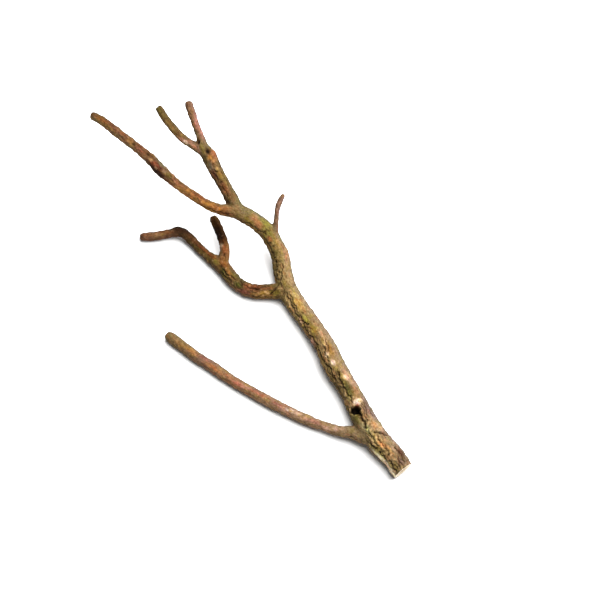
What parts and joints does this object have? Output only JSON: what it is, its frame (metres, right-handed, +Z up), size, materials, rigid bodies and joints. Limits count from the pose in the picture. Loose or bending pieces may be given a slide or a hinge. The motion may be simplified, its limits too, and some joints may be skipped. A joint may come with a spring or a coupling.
{
  "type": "fallen tree branch",
  "caption": "Crooked fallen tree branch lying on the ground, sawn at its thick end, with rugged bark, a knot hole, forked side limbs and a short spur twig.",
  "frame": {"origin": "on the ground that the branch lies on, below the middle of its box", "axes": "+Y along the branch from the sawn butt towards the upper twigs, +X towards the side the butt leans to, +Z up from the ground"},
  "size_m": [0.3605, 0.4121, 0.1117],
  "materials": {
    "stem_bark": "rough furrowed olive-brown bark, dull",
    "limb_bark": "orange-brown bark with fine wrinkles, dull",
    "twig_bark": "smooth pinkish-brown twig bark, slightly satin",
    "dark_bark": "dark brown furrowed bark, dull"
  },
  "bodies": {
    "root": {"main_stem": "stem_bark", "left_limb": "limb_bark", "right_limb": "limb_bark", "right_limb_twig": "twig_bark", "middle_limb": "dark_bark", "middle_twig": "dark_bark", "lower_limb": "twig_bark", "spur_twig": "twig_bark"}
  },
  "joints": []
}
